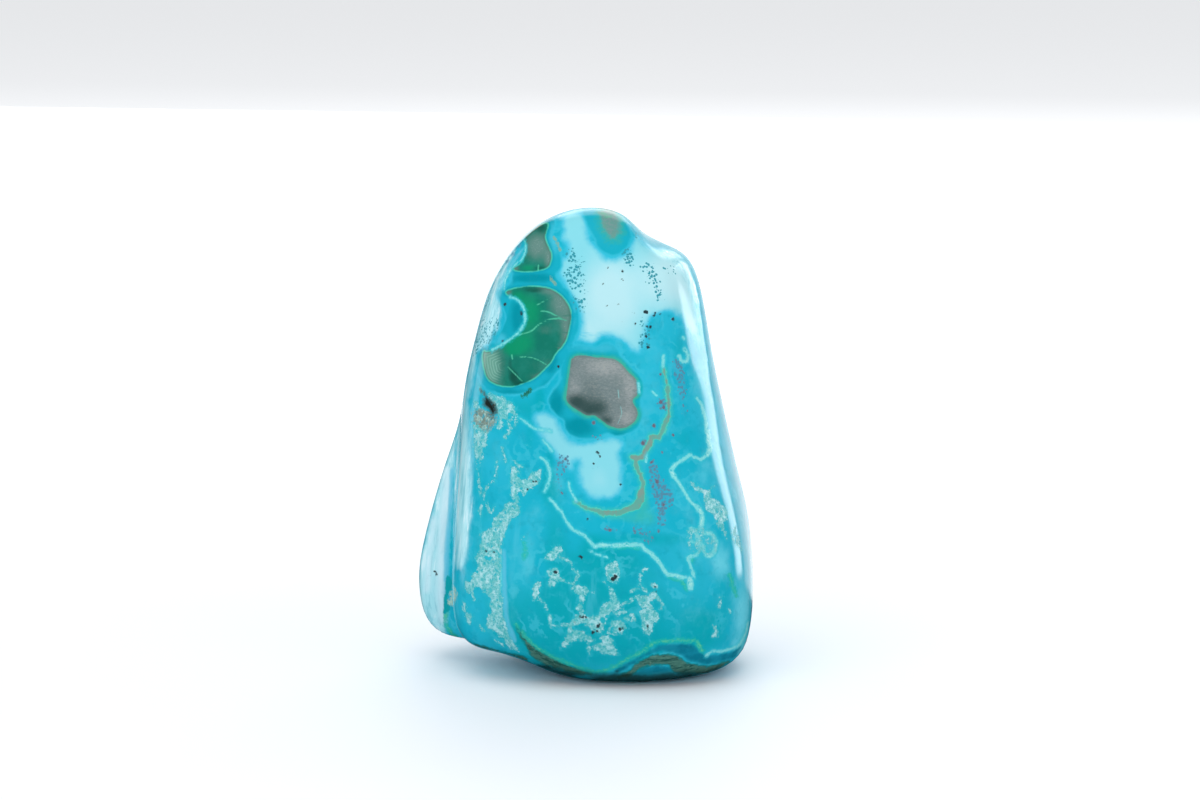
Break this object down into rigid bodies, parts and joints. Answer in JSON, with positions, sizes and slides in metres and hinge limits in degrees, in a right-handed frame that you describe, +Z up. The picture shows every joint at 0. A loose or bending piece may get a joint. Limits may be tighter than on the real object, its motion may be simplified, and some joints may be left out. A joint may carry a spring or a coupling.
{
  "type": "chrysocolla specimen",
  "caption": "Polished free-standing freeform of chrysocolla with malachite: a tapered, rounded stone with a saddle near its top, a set-back lobe at its left and a flat ground base.",
  "frame": {"origin": "middle of the stone's bounding box at the level of its flat ground base", "axes": "+Z up along the stone's height, +Y from the viewer through the stone's thickness to its back, +X to the viewer's right"},
  "size_m": [0.0512, 0.0376, 0.07],
  "materials": {
    "chrysocolla_stone": "polished"
  },
  "bodies": {
    "root": {"chrysocolla_stone": "chrysocolla_stone"}
  },
  "joints": []
}
